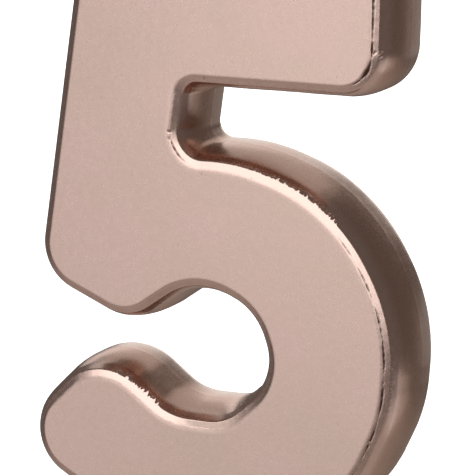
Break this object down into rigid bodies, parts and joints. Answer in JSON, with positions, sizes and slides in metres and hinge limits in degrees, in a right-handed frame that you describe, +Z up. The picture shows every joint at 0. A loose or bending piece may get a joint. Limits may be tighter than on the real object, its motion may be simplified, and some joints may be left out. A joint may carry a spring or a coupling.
{
  "type": "number candle",
  "caption": "Moulded wax numeral five with a satin metallic coat, a cotton wick at its top and a plastic pick that stands it in a cake.",
  "frame": {"origin": "centre of the underside of the pick's collar, where the candle rests on the cake; the spike is below it", "axes": "+Z up along the pick, +X to the right as the numeral is read, -Y out of the numeral's flat front face"},
  "size_m": [0.0477, 0.009, 0.1094],
  "materials": {
    "wax": "smooth, slightly translucent paraffin wax",
    "metallic_lacquer": "satin rose-gold metallic lacquer with a fine sparkle",
    "wick_cotton": "braided, waxed cotton",
    "pick_plastic": "moulded white polypropylene"
  },
  "bodies": {
    "pick": {"cake_pick": "pick_plastic"},
    "candle": {"wax_body": "wax", "metallic_coat": "metallic_lacquer", "wick": "wick_cotton", "wick_seal": "wax"}
  },
  "joints": [
    {"name": "candle_lift", "type": "slide", "parent": "pick", "child": "candle", "axis": [0, 0, 1], "range_m": [0, 0.012]}
  ]
}
